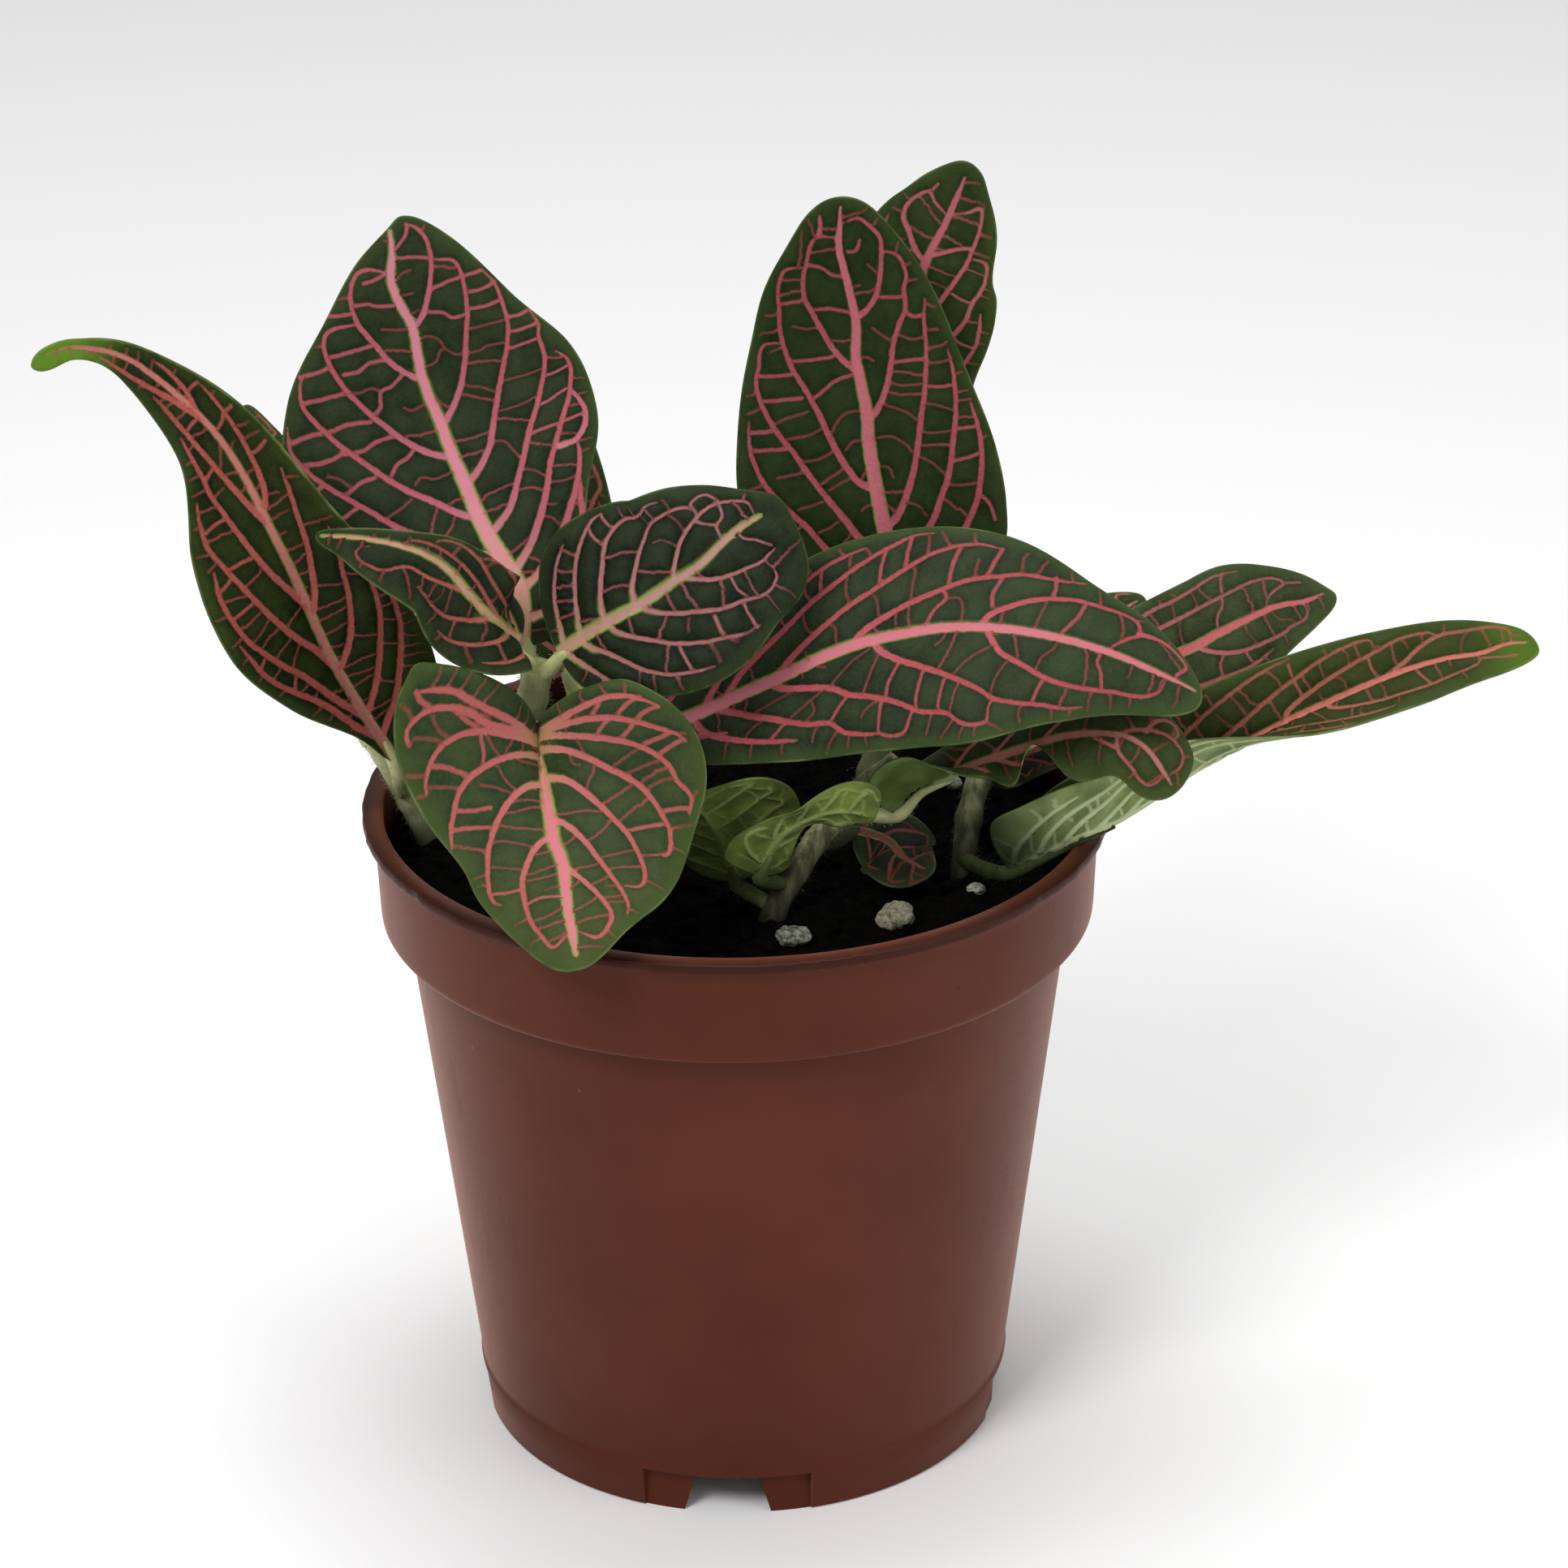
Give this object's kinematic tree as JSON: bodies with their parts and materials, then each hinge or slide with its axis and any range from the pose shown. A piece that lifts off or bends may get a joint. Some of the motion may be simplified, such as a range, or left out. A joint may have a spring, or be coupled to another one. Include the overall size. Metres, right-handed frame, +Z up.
{
  "type": "potted nerve plant",
  "caption": "Small pink-veined foliage plant with broad opposite leaves on short stems, standing in dark soil in a tapered round plastic nursery pot with a rim band.",
  "frame": {"origin": "middle of the whole plant's footprint, level with the foot of the pot", "axes": "+Z up, +X to the right and -Y to the front of the plant as it is usually seen"},
  "size_m": [0.174, 0.0942, 0.1501],
  "materials": {
    "pot_plastic": "satin terracotta-brown moulded plastic",
    "soil": "dark crumbly potting soil",
    "grain": "dull mineral grain",
    "stem": "pale green, finely hairy",
    "leaf": "dark green quilted blade with a raised net of pink veins"
  },
  "bodies": {
    "root": {"pot": "pot_plastic", "soil": "soil", "grain_beige": "grain", "grain_grey": "grain", "grain_white_front": "grain", "grain_white_back": "grain", "stem_main": "stem", "stem_left": "stem", "stem_middle": "stem", "stem_right": "stem", "stem_back": "stem", "stem_rear": "stem", "leaf_tall_left": "leaf", "leaf_far_left": "leaf", "leaf_young_left": "leaf", "leaf_young_right": "leaf", "leaf_front": "leaf", "leaf_tall_right": "leaf", "leaf_broad_right": "leaf", "leaf_tall_back": "leaf", "leaf_right_upper": "leaf", "leaf_far_right": "leaf", "leaf_right_under": "leaf", "leaf_behind_far_left": "leaf", "leaf_rear": "leaf", "leaf_low_left": "leaf", "leaf_low_front": "leaf", "leaf_low_small": "leaf", "leaf_low_right": "leaf", "leaf_right_back": "leaf"}
  },
  "joints": []
}
